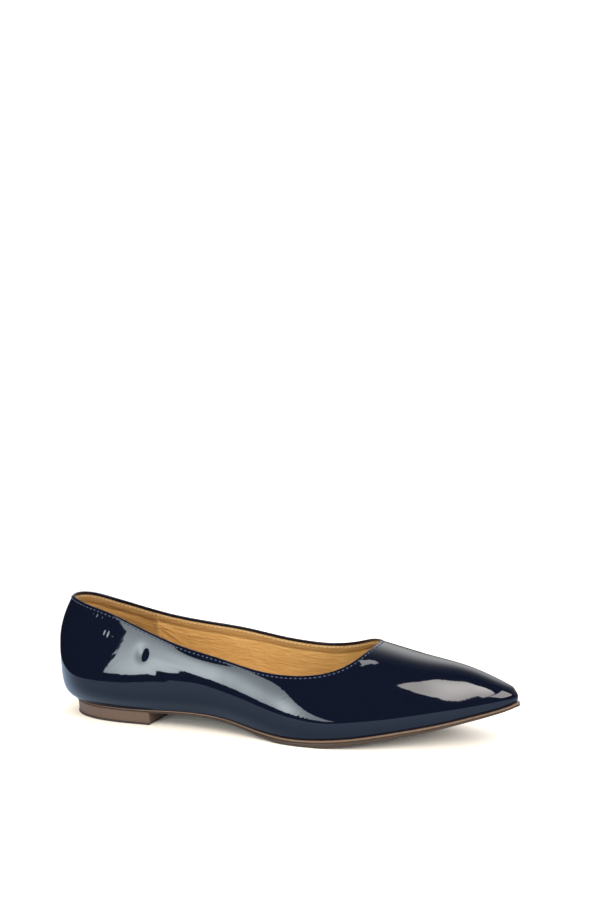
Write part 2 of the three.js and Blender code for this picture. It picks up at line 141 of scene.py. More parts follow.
# %% Smooth curves
def smooth_curve(knots, values, start=0.0, end=0.0):
    """A cubic between each two knots, with one slope and one bend at every knot.

    The knots' slopes solve a linear system: at an inner knot the second derivatives of both
    cubics agree. At an end the slope is the given one, or with None the second derivative is 0.
    The result takes t, and order=1 gives its slope."""
    knots, values = np.asarray(knots, float), np.asarray(values, float)
    gap = np.diff(knots)
    rise = np.diff(values) / gap
    count = len(knots)
    system, right = np.zeros((count, count)), np.zeros(count)
    inner = np.arange(1, count - 1)
    system[inner, inner - 1] = gap[1:]
    system[inner, inner] = 2 * (gap[1:] + gap[:-1])
    system[inner, inner + 1] = gap[:-1]
    right[inner] = 3 * (gap[1:] * rise[:-1] + gap[:-1] * rise[1:])
    for row, near, given, slope in ((0, 1, start, rise[0]), (-1, -2, end, rise[-1])):
        system[row, row] = 2 if given is None else 1
        system[row, near] = 1 if given is None else 0
        right[row] = 3 * slope if given is None else given
    slopes = np.linalg.solve(system, right)

    def curve(t, order=0):
        i = np.clip(np.searchsorted(knots, t) - 1, 0, count - 2)
        h = gap[i]
        s = (t - knots[i]) / h
        a, b = values[i], values[i + 1]
        m, n = slopes[i] * h, slopes[i + 1] * h
        if order:
            return ((6*s*s - 6*s) * (a - b) + (3*s*s - 4*s + 1) * m + (3*s*s - 2*s) * n) / h
        near, far = (2*s**3 - 3*s*s + 1) * a + (s**3 - 2*s*s + s) * m, (3*s*s - 2*s**3) * b + (s**3 - s*s) * n
        return near + far

    return curve


def angle_of(share):
    """Sections are spaced by an angle: share of length = (1 - cos(pi * angle)) / 2.

    A share below 0 or above 1 counts as 0 or 1."""
    return np.arccos(np.clip(1 - 2 * np.asarray(share, float), -1, 1)) / np.pi


def end_slope(radius):
    """The slope of a half-width against the angle where the outline's end has this radius."""
    return np.pi * np.sqrt(radius * feather_length / 2) / ball_width


plan, heights = {}, {}
for i, name in enumerate(plan_columns[1:], 1):
    ends = (end_slope(heel_round), -end_slope(toe_round)) if name in ("lateral", "medial") else (0, 0)
    plan[name] = smooth_curve(angle_of(plan_rows[:, 0]), plan_rows[:, i], *ends)
for i, name in enumerate(rise_columns[1:], 1):
    heights[name] = smooth_curve(angle_of(rise_rows[:, 0]), rise_rows[:, i])
topline_step = np.linspace(0, 1, len(topline_rows))
topline_angle = smooth_curve(topline_step, angle_of(topline_rows[:, 0]), None, 0)
topline_share = {
    LATERAL: smooth_curve(topline_step, topline_rows[:, 1], 0, None),
    MEDIAL: smooth_curve(topline_step, topline_rows[:, 2], 0, None),
}
throat_angle = float(angle_of(topline_rows[-1, 0]))
half_width = {LATERAL: plan["lateral"], MEDIAL: plan["medial"]}

# %% [markdown]
# The surface and its normal can be asked for at any angle along the last and any share of the
# section. Skin, lining, sock, sole and stitches all use them, so they lie on each other.

# %% Surface of the last
def seat_height(x):
    """Height of the last's bottom: the sole at the ball, plus heel rise and toe spring."""
    angle = angle_of(x / feather_length)
    return sole_at_ball + heel_rise * plan["rise"](angle) + toe_spring * plan["spring"](angle)


def tread_height(x):
    """Height of the sole's underside: the seat less the sole's thickness, not under the floor."""
    return np.maximum(0, seat_height(x) - sole_at_ball * plan["sole"](angle_of(x / feather_length)))


def place_along(angle):
    """The length from the heel at an angle along the last, and its change per unit of angle."""
    x = feather_length * (1 - np.cos(np.pi * angle)) / 2
    return x, feather_length * np.pi / 2 * np.sin(np.pi * angle)


def outline(angle, side, turn=1.0):
    """A feather line point (x, y) and the unit direction out of the outline.

    x follows the angle, y is the half-width. The direction is square to the outline's slope;
    turn below 1 leans it toward the shoe's own cross direction."""
    angle = np.asarray(angle, float)
    x, along = place_along(angle)
    width = ball_width * half_width[side](angle)
    out = np.stack([-turn * ball_width * half_width[side](angle, 1), side * along], -1)
    out /= np.linalg.norm(out, axis=-1, keepdims=True)
    return np.stack([x, side * width], -1), out


def middle_x(angle):
    """Where both sides' sections meet over the middle line: the mean lean of the two sides."""
    x, along = place_along(angle)
    lean = ball_width ** 2 * sum(w(angle) * w(angle, 1) for w in half_width.values()) / 2
    inside = x + fan * lean / np.maximum(along, 1e-9)
    toe = feather_length - fan * toe_round
    return np.where(angle < 1e-5, fan * heel_round, np.where(angle > 1 - 1e-5, toe, inside))


def last_point(angle, share, side):
    """A point of the last at an angle along it and a share of the section, 0 at the feather
    line and 1 at the ridge. The section is a uniform cubic B-spline of eight control points,
    with one mirrored point before the feather line and one past the ridge."""
    angle, share = np.broadcast_arrays(np.asarray(angle, float), np.asarray(share, float))
    foot, out = outline(angle, side, fan)
    ground = seat_height(foot[..., 0])
    ridge = back_height * heights["back"](angle) + instep_height * heights["instep"](angle)
    arch = arch_swell * plan["arch"](angle) * (side > 0)

    def standing(reach, up):
        return np.concatenate([foot + reach[..., None] * out, (ground + up)[..., None]], -1)

    point = standing(0 * ground, 0 * ground)
    low = standing(fullness * plan["low"](angle) + arch / 2, feather_round * heights["low_up"](angle))
    swell = standing(fullness * plan["swell"](angle) + arch, ridge * heights["swell_up"](angle))
    high = standing(fullness * plan["high"](angle) + arch, ridge * heights["high_up"](angle))
    middle = np.stack([middle_x(angle), 0 * ground, ground + ridge], -1)
    inward = heights["shoulder_in"](angle)
    mean_width = ball_width * (plan["lateral"](angle) + plan["medial"](angle)) / 2
    shoulder = np.stack([
        point[..., 0] + (middle[..., 0] - point[..., 0]) * inward,
        side * (1 - inward) * (mean_width + arch_swell * plan["arch"](angle) / 2),
        ground + ridge * heights["shoulder_up"](angle),
    ], -1)
    mirrored = shoulder * [1, -1, 1]
    controls = np.stack([2 * point - low, point, low, swell, high, shoulder, middle, mirrored])
    along = np.clip(share, 0, 1) * 5
    first = np.minimum(along.astype(int), 4)
    t = along - first
    weights = [(1 - t)**3 / 6, (3*t**3 - 6*t**2 + 4) / 6, (-3*t**3 + 3*t**2 + 3*t + 1) / 6, t**3 / 6]
    result = 0
    for i, weight in enumerate(weights):
        own = np.take_along_axis(controls, (first + i)[None, ..., None], 0)[0]
        result = result + weight[..., None] * own
    return result


def unit(vectors):
    """Vectors over their length."""
    return vectors / np.maximum(np.linalg.norm(vectors, axis=-1, keepdims=True), 1e-12)


def slopes_at(angle, share, side, step=0.003):
    """The surface's change per unit of angle and per unit of share, by central differences."""
    a = np.clip(angle, 0.012, 0.988)
    s = np.clip(share, step, 1 - step)
    by_angle = (last_point(a + step, s, side) - last_point(a - step, s, side)) / (2 * step)
    by_share = (last_point(a, s + step, side) - last_point(a, s - step, side)) / (2 * step)
    return by_angle, by_share


def last_normal(angle, share, side):
    """The unit normal out of the last: the cross product of the two slopes. On the middle
    line it is the mean of both sides, with no sideways part."""
    angle, share = np.broadcast_arrays(np.asarray(angle, float), np.asarray(share, float))
    own = unit(np.cross(*slopes_at(angle, share, side)) * -side)
    other = unit(np.cross(*slopes_at(angle, share, -side)) * side)
    middle = unit((own + other) * [1, 0, 1])
    on_middle = (angle < 1e-6) | (angle > 1 - 1e-6) | (share > 1 - 1e-6)
    return np.where(on_middle[..., None], middle, own)


ridge_line = last_point(np.linspace(throat_angle, 1, 200), 1.0, LATERAL)
print("throat at x = %.1f mm, %.1f mm high" % (ridge_line[0, 0], ridge_line[0, 2]))

# %% [markdown]
# ## From numpy to Blender
# Each piece is a few point grids that share their borders. Points that coincide are welded, so
# a piece is one closed skin. On the upper, the lining and the insock two sheets share a sliver
# of a triangle on the middle line: the count finds one crowded edge, and Blender's own check
# drops one of the two slivers. The last stands in the frame by two facts of the CAD box of the
# outsole: its heel end and its inner side.

# %% Place in the frame
low_corner, high_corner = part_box("outsole")
rim_angles = np.linspace(0, 1, 2001)


def sole_edge(angle, side, reach=0.0):
    """The sole's edge line in plan: the feather line moved out by edge_reach * edge + reach."""
    foot, out = outline(angle, side)
    return foot + out * (edge_reach * plan["edge"](angle) + reach)[..., None]


widest = max(sole_edge(rim_angles, MEDIAL)[:, 1])
shift = np.array([
    low_corner[0] * 1000 + edge_reach * plan["edge"](0.0),
    high_corner[1] * 1000 - widest,
    0.0,
])
print("shift of the last into the frame, mm:", shift.round(3).tolist())


def grid(points, first=None, second=None):
    """A sheet: a grid of points, and two coordinates in metres for its UV map."""
    rows, columns = points.shape[:2]
    first = np.zeros((rows, columns)) if first is None else np.broadcast_to(first, (rows, columns))
    second = np.zeros((rows, columns)) if second is None else np.broadcast_to(second, (rows, columns))
    return points, np.stack([first, second], -1) / 1000


def put(name, data):
    """A new object in the scene."""
    made = bpy.data.objects.new(name, data)
    bpy.context.scene.collection.objects.link(made)
    return made


def make_piece(name, sheets, material, node, sharp=None):
    """A mesh object from sheets (grid, flip, material index), in metres in the frame.

    Each grid cell becomes two triangles. Points closer than a micrometre are welded, and
    triangles that lose an edge by it are left out. The volume is the sum of a . (b x c) / 6
    over the triangles, and it is above 0 where the faces look outward. An edge is open with
    one triangle and crowded with more than two."""
    points, coords, triangles, indices = [], [], [], []
    start = 0
    for (sheet, uv), flip, index in sheets:
        rows, columns = sheet.shape[:2]
        at = start + np.arange(rows * columns).reshape(rows, columns)
        a, b, c, d = at[:-1, :-1], at[:-1, 1:], at[1:, 1:], at[1:, :-1]
        cells = np.concatenate([np.stack([a, b, c], -1), np.stack([a, c, d], -1)]).reshape(-1, 3)
        triangles.append(cells[:, ::-1] if flip else cells)
        indices.append(np.full(len(cells), index))
        points.append(sheet.reshape(-1, 3))
        coords.append(uv.reshape(-1, 2))
        start += rows * columns
    points, coords = np.concatenate(points), np.concatenate(coords)
    triangles, indices = np.concatenate(triangles), np.concatenate(indices)
    _, first, where = np.unique(np.round(points, 3), axis=0, return_index=True, return_inverse=True)
    welded = where.ravel()[triangles]
    whole = (welded != np.roll(welded, 1, axis=1)).all(1)
    welded, triangles, indices = welded[whole], triangles[whole], indices[whole]
    corners = (points[first] + shift) / 1000
    edges = np.sort(np.concatenate([welded[:, [0, 1]], welded[:, [1, 2]], welded[:, [2, 0]]]), axis=1)
    uses = np.unique(edges, axis=0, return_counts=True)[1]
    a, b, c = corners[welded].transpose(1, 0, 2)
    volume = (a * np.cross(b, c)).sum() / 6
    mesh = bpy.data.meshes.new(name)
    mesh.vertices.add(len(corners))
    mesh.vertices.foreach_set("co", corners.ravel())
    mesh.loops.add(welded.size)
    mesh.loops.foreach_set("vertex_index", welded.ravel())
    mesh.polygons.add(len(welded))
    mesh.polygons.foreach_set("loop_start", np.arange(0, welded.size, 3))
    mesh.polygons.foreach_set("material_index", indices)
    mesh.update(calc_edges=True)
    layer = mesh.uv_layers.new(name="run")
    layer.data.foreach_set("uv", coords[triangles.ravel()].ravel())
    mesh.validate()
    mesh.shade_smooth()
    if sharp:
        mesh.set_sharp_from_angle(angle=np.radians(sharp))
    for m in material if isinstance(material, (list, tuple)) else [material]:
        mesh.materials.append(m)
    piece = put(name, mesh)
    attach(piece, "root")
    if node:
        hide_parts(node)
    print("%s: %d triangles, %.2f cm3" % (name, len(welded), volume * 1e6))
    print("    %d open edges, %d crowded edges" % ((uses == 1).sum(), (uses > 2).sum()))


# %% [markdown]
# ## Colours and the node helpers
# Colours are given in sRGB as read off the photograph, and turned linear once.
# Patterns are given by the size of their cells on the real shoe, in mm.

# %% Colours and nodes
def colour(code):
    """An sRGB hex colour as linear RGBA: c / 12.92 below 0.04045, else ((c + 0.055) / 1.055) ** 2.4."""
    values = np.array([int(code[i:i + 2], 16) / 255 for i in (1, 3, 5)])
    linear = np.where(values <= 0.04045, values / 12.92, ((values + 0.055) / 1.055) ** 2.4)
    return (*linear.tolist(), 1.0)


def add_node(tree, kind, links=None, inputs=None, **settings):
    """One node with its settings, its input values and the links into its inputs."""
    node = tree.nodes.new(kind)
    for key, value in settings.items():
        setattr(node, key, value)
    for key, value in (inputs or {}).items():
        node.inputs[key].default_value = value
    for key, socket in (links or {}).items():
        tree.links.new(socket, node.inputs[key])
    return node


def new_material(name, settings):
    """A material, its node tree and its Principled shader with settings on its own sockets."""
    material = bpy.data.materials.new(name)
    material.use_nodes = True
    tree = material.node_tree
    shader = tree.nodes["Principled BSDF"]
    for key, value in settings.items():
        shader.inputs[key].default_value = colour(value) if isinstance(value, str) else value
    return material, tree, shader


def add_noise(tree, vector, cell, detail, **inputs):
    """The height of a noise with cells of this width in mm: its scale is 1000 / cell."""
    values = {"Scale": 1000 / cell, "Detail": detail, **inputs}
    return add_node(tree, "ShaderNodeTexNoise", {"Vector": vector}, values).outputs["Fac"]


def add_bump(tree, height, depth, normal=None, strength=1.0):
    """The normal of a relief of this depth in mm, on top of another normal where one is given."""
    links = {"Height": height} if normal is None else {"Height": height, "Normal": normal}
    values = {"Strength": strength, "Distance": depth / 1000}
    return add_node(tree, "ShaderNodeBump", links, values).outputs["Normal"]


def add_mix(tree, factor, first, second):
    """The colour between two, each of them a socket or an sRGB hex colour."""
    node = add_node(tree, "ShaderNodeMix", {"Factor": factor}, data_type="RGBA")
    for name, value in (("A", first), ("B", second)):
        if isinstance(value, str):
            node.inputs[name].default_value = colour(value)
        else:
            tree.links.new(value, node.inputs[name])
    return node.outputs["Result"]


def add_fade(tree, value, start, stop, share):
    """The share where the value is under start, 0 past stop, straight between. In mm."""
    values = {"From Min": start / 1000, "From Max": stop / 1000, "To Min": share, "To Max": 0.0}
    return add_node(tree, "ShaderNodeMapRange", {"Value": value}, values).outputs["Result"]


# %% [markdown]
# ## Navy patent leather
# Patent leather is dyed leather under a thick poured lacquer. The dark navy is the dye, and
# everything bright on it is the lacquer mirroring the studio. So the base is almost matt and
# the mirror comes from the coat. Pouring leaves a faint orange peel of about 4 mm, and pulling
# over the last a slower unevenness of about 17 mm, which bends the highlights' edges a little.

# %% Patent leather
patent, tree, shader = new_material("patent_leather_navy", {
    "Base Color": "#080c19", "Roughness": 0.42, "Specular IOR Level": 0.0,
    "Coat Weight": 1.0, "Coat Roughness": 0.03, "Coat IOR": 1.39,
})
where = add_node(tree, "ShaderNodeTexCoord").outputs["Object"]
peel = add_bump(tree, add_noise(tree, where, 3.846, 2.0), 0.012)
pull = add_bump(tree, add_noise(tree, where, 16.67, 1.0), 0.06, peel)
tree.links.new(pull, shader.inputs["Normal"])
tree.links.new(pull, shader.inputs["Coat Normal"])

# %% [markdown]
# ## Tan lining leather
# Tanned leather, soft and half matt. Broad clouds between two tans come from the tanning, fine
# pores and slanting wrinkles from the hide. Behind the heel's seam and in the band under the
# topline the tan is mixed toward a darker tan: painted shade of the heel's back and of the band.
# The wrinkles lie in the piece's own UV map, which counts the length along the topline and the
# depth below it, so they follow the shoe.

# %% Tan lining leather
heel_seam_x = 38.0
painted_shade_tan = "#5f4120"
wrinkle_length, wrinkle_width = 9.09, 2.381
lining_leather, tree, shader = new_material("lining_leather_tan", {"Roughness": 0.5})
where = add_node(tree, "ShaderNodeTexCoord").outputs["Object"]
lay = add_node(tree, "ShaderNodeUVMap", uv_map="run").outputs["UV"]
along_x = add_node(tree, "ShaderNodeSeparateXYZ", {"Vector": where}).outputs["X"]
depth = add_node(tree, "ShaderNodeSeparateXYZ", {"Vector": lay}).outputs["Y"]
seam_at = heel_seam_x + shift[0]
tan = add_mix(tree, add_noise(tree, where, 14.286, 4.0), "#b6894d", "#c9a365")
# Painted shade: 42 % toward a dark tan behind the heel seam, 40 % in the top 4 mm under the topline; the
# insock, with no depth in its UV map, takes that 40 % all over.
tan = add_mix(tree, add_fade(tree, along_x, seam_at - 0.5, seam_at + 0.5, 0.42), tan, painted_shade_tan)
tan = add_mix(tree, add_fade(tree, depth, 4.0, 5.8, 0.4), tan, painted_shade_tan)
tree.links.new(tan, shader.inputs["Base Color"])
cells_per_metre = (1000 / wrinkle_length, 1000 / wrinkle_width, 1)
slant = {"Rotation": (0, 0, 0.35), "Scale": cells_per_metre}
slanted = add_node(tree, "ShaderNodeMapping", {"Vector": lay}, slant).outputs["Vector"]
pores = add_bump(tree, add_noise(tree, where, 1.111, 2.0), 0.08, strength=0.7)
wrinkles = add_noise(tree, slanted, 1000, 3.0, Distortion=0.6)
tree.links.new(add_bump(tree, wrinkles, 0.7, pores), shader.inputs["Normal"])

# %% [markdown]
# ## Rubber and thread
# Sole, heel and top piece are moulded rubber: two close tones and a fine grain keep them from
# looking like bare plastic. The bead is paler and a little smoother, the top piece darker and
# dull. The underside has fine ribs across, which is a guess. The outer thread is waxed and
# catches some light; its colour is a blue-grey lighter than navy, a painted sheen. The inner
# one is pale and dry.

# %% Rubber and thread
def rubber(name, dark, pale, roughness, grain, rib=None):
    """Moulded rubber: two close tones by a noise, and a fine grain of this depth in mm.

    With a rib it has ribs across the shoe at that pitch in mm. A wave texture's phase is
    20 * scale * x, with x in metres, so its scale is 100 pi / rib."""
    material, tree, shader = new_material(name, {"Roughness": roughness})
    where = add_node(tree, "ShaderNodeTexCoord").outputs["Object"]
    tones = add_mix(tree, add_noise(tree, where, 3.333, 4.0), dark, pale)
    tree.links.new(tones, shader.inputs["Base Color"])
    normal = add_bump(tree, add_noise(tree, where, 0.7143, 2.0), grain)
    if rib:
        wave = add_node(tree, "ShaderNodeTexWave", {"Vector": where}, {"Scale": 100 * np.pi / rib})
        normal = add_bump(tree, wave.outputs["Fac"], 0.3, normal)
    tree.links.new(normal, shader.inputs["Normal"])
    return material


def thread(name, code, roughness):
    """Twisted thread, too thin to show a pattern: one colour."""
    return new_material(name, {"Base Color": code, "Roughness": roughness})[0]


sole_rubber = rubber("sole_rubber_taupe", "#302010", "#3a2917", 0.5, 0.06)
sole_tread = rubber("sole_tread_taupe", "#302010", "#3a2917", 0.6, 0.06, rib=2.5)
bead_rubber = rubber("sole_bead_pale", "#5a4738", "#6d5947", 0.42, 0.04)
heel_rubber = rubber("heel_rubber_taupe", "#4d392c", "#5b4637", 0.46, 0.06)
tread_rubber = rubber("tread_rubber_dark", "#291d19", "#372a23", 0.6, 0.08)
# The navy thread's colour is lifted to blue-grey: a painted sheen on the stitches.
thread_navy_and_sheen = thread("thread_navy_and_sheen", "#2f374f", 0.35)
thread_pale = thread("thread_pale_tan", "#b3a07a", 0.6)

# %% [markdown]
# ## Upper
# The patent leather is cut low, folded over at the topline and lasted under the insole. It is
# one skin 1 mm thick with a round fold at the top: outside, fold, inside and underside are four
# sheets around the same section, so the fold has its real thickness from every side. Worn
# leather is not quite smooth: the outer quarter bulges softly at the waist, and a small dent
# and a few fine ripples break the mirror. They are placed in the last's own mm.

# %% Upper
leather = 1.0


def travelled(line):
    """The length along a line of points, from 0 at its start, in the line's own unit."""
    return np.concatenate([[0], np.cumsum(np.linalg.norm(np.diff(line, axis=0), axis=-1))])


def topline_frame(steps, side):
    """Points of the topline with the normal out of the last and the direction across the edge.

    The edge direction is the cross product of the line's run and the normal."""
    angle, share = topline_angle(steps), topline_share[side](steps)
    angle = np.where(steps <= 0, 0.0, np.where(steps >= 1, throat_angle, angle))
    share = np.where(steps >= 1, 1.0, share)
    point = last_point(angle, share, side)
    normal = last_normal(angle, share, side)
    run = np.gradient(point, axis=0)
    across = unit(np.cross(run, normal) * side)
    on_middle = (steps <= 0) | (steps >= 1)
    across[on_middle] = unit(across[on_middle] * [1, 0, 1])
    return angle, share, point, normal, across


def beside_topline(steps, side, distance):
    """Angle and share of the surface points at a distance below the topline.

    The step down the surface, -distance * across, is split into the two slopes by least
    squares."""
    angle, share, point, normal, across = topline_frame(steps, side)
    by_angle, by_share = slopes_at(angle, share, side)
    goal = -distance * across
    aa, ss = (by_angle**2).sum(-1), (by_share**2).sum(-1)
    cross = (by_angle * by_share).sum(-1)
    ga, gs = (by_angle * goal).sum(-1), (by_share * goal).sum(-1)
    fall = aa * ss - cross**2
    return angle + (ga * ss - gs * cross) / fall, np.minimum(share + (gs * aa - ga * cross) / fall, 1)


def from_topline(points, side):
    """Distance of each point to the topline and the length along it to the nearest place.

    In the first and last column, which both sides share, it is the distance to the line's end."""
    line = topline_frame(np.linspace(0, 1, 400), side)[2]
    length = travelled(line)
    flat = points.reshape(-1, 3)
    square = (flat**2).sum(1)[:, None] + (line**2).sum(1)[None] - 2 * flat @ line.T
    nearest = square.argmin(1)
    distance = np.sqrt(np.maximum(square.min(1), 0)).reshape(points.shape[:2])
    for column, end in ((0, line[0]), (-1, line[-1])):
        distance[:, column] = np.linalg.norm(points[:, column] - end, axis=-1)
    return distance, length[nearest].reshape(points.shape[:2])


def turned(across, up, degrees):
    """Two distances turned: run = across * cos + up * sin, rise = up * cos - across * sin."""
    a = np.radians(degrees)
    return across * np.cos(a) + up * np.sin(a), up * np.cos(a) - across * np.sin(a)


def hump(run, rise, length, width):
    """A soft hump, 1 in its middle: exp(-(run / length)^2 - (rise / width)^2)."""
    return np.exp(-(run / length) ** 2 - (rise / width) ** 2)


def off_middle(points):
    """0 on the shoe's middle plane and 1 from 15 mm beside it: 3 t^2 - 2 t^3 of t = |y| / 15.

    It brings what is moved on one side only back to the surface that both sides share."""
    t = np.clip(np.abs(points[..., 1]) / 15, 0, 1)
    return t * t * (3 - 2 * t)


# The outer quarter's ridge across the waist, a shorter one ahead of it, a stretch just under
# the topline that stands back by a share, and the height over which all of it fades in
ridge_x, ridge_height, ridge_behind, ridge_ahead = 98.0, 1.5, 60.0, 22.0
short_x, short_height, short_length = 112.0, 0.2, 10.0
held_x, held_share, held_length, held_depth = 87.0, 0.3, 20.0, 2.4
bulge_fade = 7.0


def waist_bulge(points, side, below):
    """How far the outer quarter stands out between heel and ball, in mm.

    Each ridge falls off as height * exp(-(run / length)^2), the main one slowly toward the
    heel and fast toward the ball. The sum is times 1 - exp(-(up / bulge_fade)^2)."""
    if side != LATERAL:
        return np.zeros(points.shape[:-1])
    x, up = points[..., 0], points[..., 2] - seat_height(points[..., 0])
    run = x - ridge_x
    bulge = ridge_height * np.exp(-(run / np.where(run < 0, ridge_behind, ridge_ahead)) ** 2)
    bulge = bulge + short_height * np.exp(-((x - short_x) / short_length) ** 2)
    held_back = held_share * hump(x - held_x, below, held_length, held_depth)
    return bulge * (1 - np.exp(-(up / bulge_fade) ** 2)) * (1 - held_back) * off_middle(points)


def soft_relief(points, side):
    """How far the listed soft ridges (plus) and troughs (minus) move the skin out, in mm.

    Each is its height times a hump, turned by its angle in the side view, whose length behind
    and ahead may differ. A ripple is the same times a sine of its run."""
    x, z, total = points[..., 0], points[..., 2], np.zeros(points.shape[:-1])
    for own_side, at, level, behind, ahead, width, angle, height in soft_folds:
        run, rise = turned(x - at, z - level, angle)
        length = np.where(run < 0, behind, ahead)
        total = total + (own_side == side) * height * hump(run, rise, length, width)
    for own_side, at, level, length, width, angle, pitch, height in ripples:
        run, rise = turned(x - at, z - level, angle)
        wave = np.sin(2 * np.pi * run / pitch + 0.8 * np.sin(2 * np.pi * run / (2.7 * pitch)))
        total = total + (own_side == side) * height * wave * hump(run, rise, length, width)
    return total * off_middle(points)


# side, middle x and z, length behind and ahead, width across, angle in degrees, height, in mm
soft_folds = [
    (LATERAL, 50.0, 41, 3.3, 3.3, 4.0, 0, -0.46),
    (LATERAL, 70, 36, 15, 15, 1.6, -14, 0.05),
    (LATERAL, 62, 30, 9, 9, 2.0, -30, -0.05),
    (LATERAL, 190, 30, 12, 12, 3.0, -12, 0.05),
    (LATERAL, 214, 28, 10, 10, 2.5, -10, -0.04),
    (MEDIAL, 60, 34, 12, 12, 3.0, 25, 0.10),
    (MEDIAL, 120, 24, 16, 16, 3.0, -35, -0.08),
]

# side, middle x and z, length along, width across, angle, pitch of the ripples, height
ripples = [
    (LATERAL, 133, 27, 7, 3.0, -64, 2.3, 0.014),
    (LATERAL, 141, 20, 8, 3.0, -45, 2.1, 0.012),
    (LATERAL, 20, 60.5, 5.5, 1.8, -20, 3.2, 0.28),
    (LATERAL, 28, 50.5, 3.0, 1.4, -15, 2.9, 0.15),
    (LATERAL, 36, 36, 8, 3.5, -50, 3.5, 0.006),
    (LATERAL, 203, 24, 9, 2.5, -8, 3.0, 0.004),
]


feather_columns, nose_columns = 380, 30


def wall_grid(side, distance, rows):
    """Angle and share of a grid over one side of the shoe, rows from the foot up.

    Column feet stand at even places along the feather line to the toe and then up the nose.
    Column tops stand along a line at a distance under the topline, at the share
    1.35 u - 0.35 u^2 of its length for a foot at the share u of its path. Between them angle
    and share change evenly, so the last column is the ridge of the vamp."""
    fine = np.linspace(0, 1, 2001)
    top_angle, top_share = beside_topline(fine, side, distance)
    top_angle[0], top_share[-1] = 0.0, 1.0
    top_length = travelled(last_point(top_angle, top_share, side))
    feather = travelled(outline(fine, side)[0])
    nose = travelled(last_point(1.0, fine, side))
    along_feather = np.linspace(0, feather[-1], feather_columns)
    up_nose = np.linspace(0, nose[-1], nose_columns + 1)[1:]
    foot_angle = np.append(np.interp(along_feather, feather, fine), np.ones(nose_columns))
    foot_share = np.append(np.zeros(feather_columns), np.interp(up_nose, nose, fine))
    path = np.append(along_feather, feather[-1] + up_nose)
    u = path / path[-1]
    steps = np.interp((1.35 * u - 0.35 * u**2) * top_length[-1], top_length, fine)
    up = rows[:, None]
    angle = foot_angle * (1 - up) + np.interp(steps, fine, top_angle) * up
    share = foot_share * (1 - up) + np.interp(steps, fine, top_share) * up
    return angle, share, steps


wall_rows = np.linspace(0, 1, 81)
sheets = []
for side in (LATERAL, MEDIAL):
    angle, share, steps = wall_grid(side, 0.0, wall_rows)
    skin = last_point(angle, share, side)
    normal = last_normal(angle, share, side)
    below, along = from_topline(skin, side)
    relief = waist_bulge(skin, side, below) + soft_relief(skin, side) * (1 - np.exp(-(below / 3) ** 2))
    skin = skin + relief[..., None] * normal
    inner = (skin - leather * normal)[::4]
    edge_normal = normal[-1]
    across = topline_frame(steps, side)[4]
    turn = np.linspace(0, np.pi, 9)[:, None, None]
    radius = leather / 2
    fold = skin[-1] - radius * edge_normal * (1 - np.cos(turn)) + radius * across * np.sin(turn)
    under = np.linspace(0, 1, 3)[:, None, None]
    bottom = (inner[0] * (1 - under) + skin[0] * under)[:, :feather_columns]
    flip = side > 0
    parts = (grid(skin, along, below), grid(fold, along[-1], 0), grid(inner[::-1]), grid(bottom))
    sheets += [(part, flip, 0) for part in parts]
make_piece("patent_upper", sheets, patent, "upper")

# %% [markdown]
# ## Lining
# The tan leather lining is sewn in just under the fold, rolls out as a soft band of about
# 5 mm, falls into a crease and lies against the wall below. Behind its seam the heel's own
# part laps over it by its thickness.

# %% Lining
lining_start = 1.3
lining_outer, lining_inner = 1.02, 1.75
band_width, band_height, crease_depth, lap_height = 4.8, 0.36, 0.34, 0.4


def lining_relief(below, x):
    """How far the lining stands in: a rounded band, a crease under it, then flat.

    The band's width and the crease's depth change slowly with x, as sines."""
    width = band_width * (1 + 0.07 * np.sin(x / 11) + 0.05 * np.sin(x / 4.7 + 1))
    band = np.sin(np.pi * np.clip(below / width, 0, 1)) ** 0.7
    crease = np.exp(-((below - width - 0.3) / 0.5) ** 2)
    return band_height * band - (crease_depth + 0.08 * np.sin(x / 6)) * crease


# side, x, distance below the topline, length along, width across, angle, height
lining_folds = [
    (MEDIAL, 44, 8.0, 5, 0.9, 14, 0.55),
    (MEDIAL, 46, 11.5, 6, 1.1, 26, 0.50),
    (MEDIAL, 43, 15.5, 5, 1.2, 38, 0.35),
    (MEDIAL, 60, 9.5, 9, 1.1, -8, 0.22),
    (MEDIAL, 24, 9.0, 10, 1.5, 8, 0.25),
    (MEDIAL, 90, 12.0, 12, 1.3, 12, 0.12),
    (MEDIAL, 118, 10.0, 12, 1.2, -10, 0.12),
    (LATERAL, 60, 9.0, 14, 1.4, 6, 0.12),
]


def lining_wrinkles(points, below, side):
    """Soft folds of the lining: each is its height times a hump turned by its angle."""
    total = np.zeros(below.shape)
    for own_side, at, depth, length, width, angle, height in lining_folds:
        run, rise = turned(points[..., 0] - at, below - depth, angle)
        total = total + (own_side == side) * height * hump(run, rise, length, width)
    return total * off_middle(points)


sheets = []
lining_rows = 1 - np.linspace(0, 1, 65) ** 1.5
for side in (LATERAL, MEDIAL):
    angle, share, steps = wall_grid(side, lining_start, lining_rows)
    skin = last_point(angle, share, side)
    normal = last_normal(angle, share, side)
    below, along = from_topline(skin, side)
    skin = skin + waist_bulge(skin, side, below)[..., None] * normal
    below = np.maximum(below - lining_start, 0)
    relief = lining_relief(below, skin[..., 0]) + lining_wrinkles(skin, below, side)
    lap = lap_height * np.clip(heel_seam_x + 0.5 - skin[..., 0], 0, 1) * np.clip(below / 3, 0, 1)
    inside = skin - (lining_inner + relief + lap)[..., None] * normal
    outside = (skin - lining_outer * normal)[::4]
    closing = np.linspace(0, 1, 3)[:, None, None]
    rim = outside[0] * (1 - closing) + inside[0] * closing
    foot = (inside[-1] * (1 - closing) + outside[-1] * closing)[:, :feather_columns]
    flip = side > 0
    parts = (grid(outside[::-1]), grid(rim), grid(inside, along, below), grid(foot))
    sheets += [(part, flip, 0) for part in parts]
make_piece("lining", sheets, lining_leather, None)


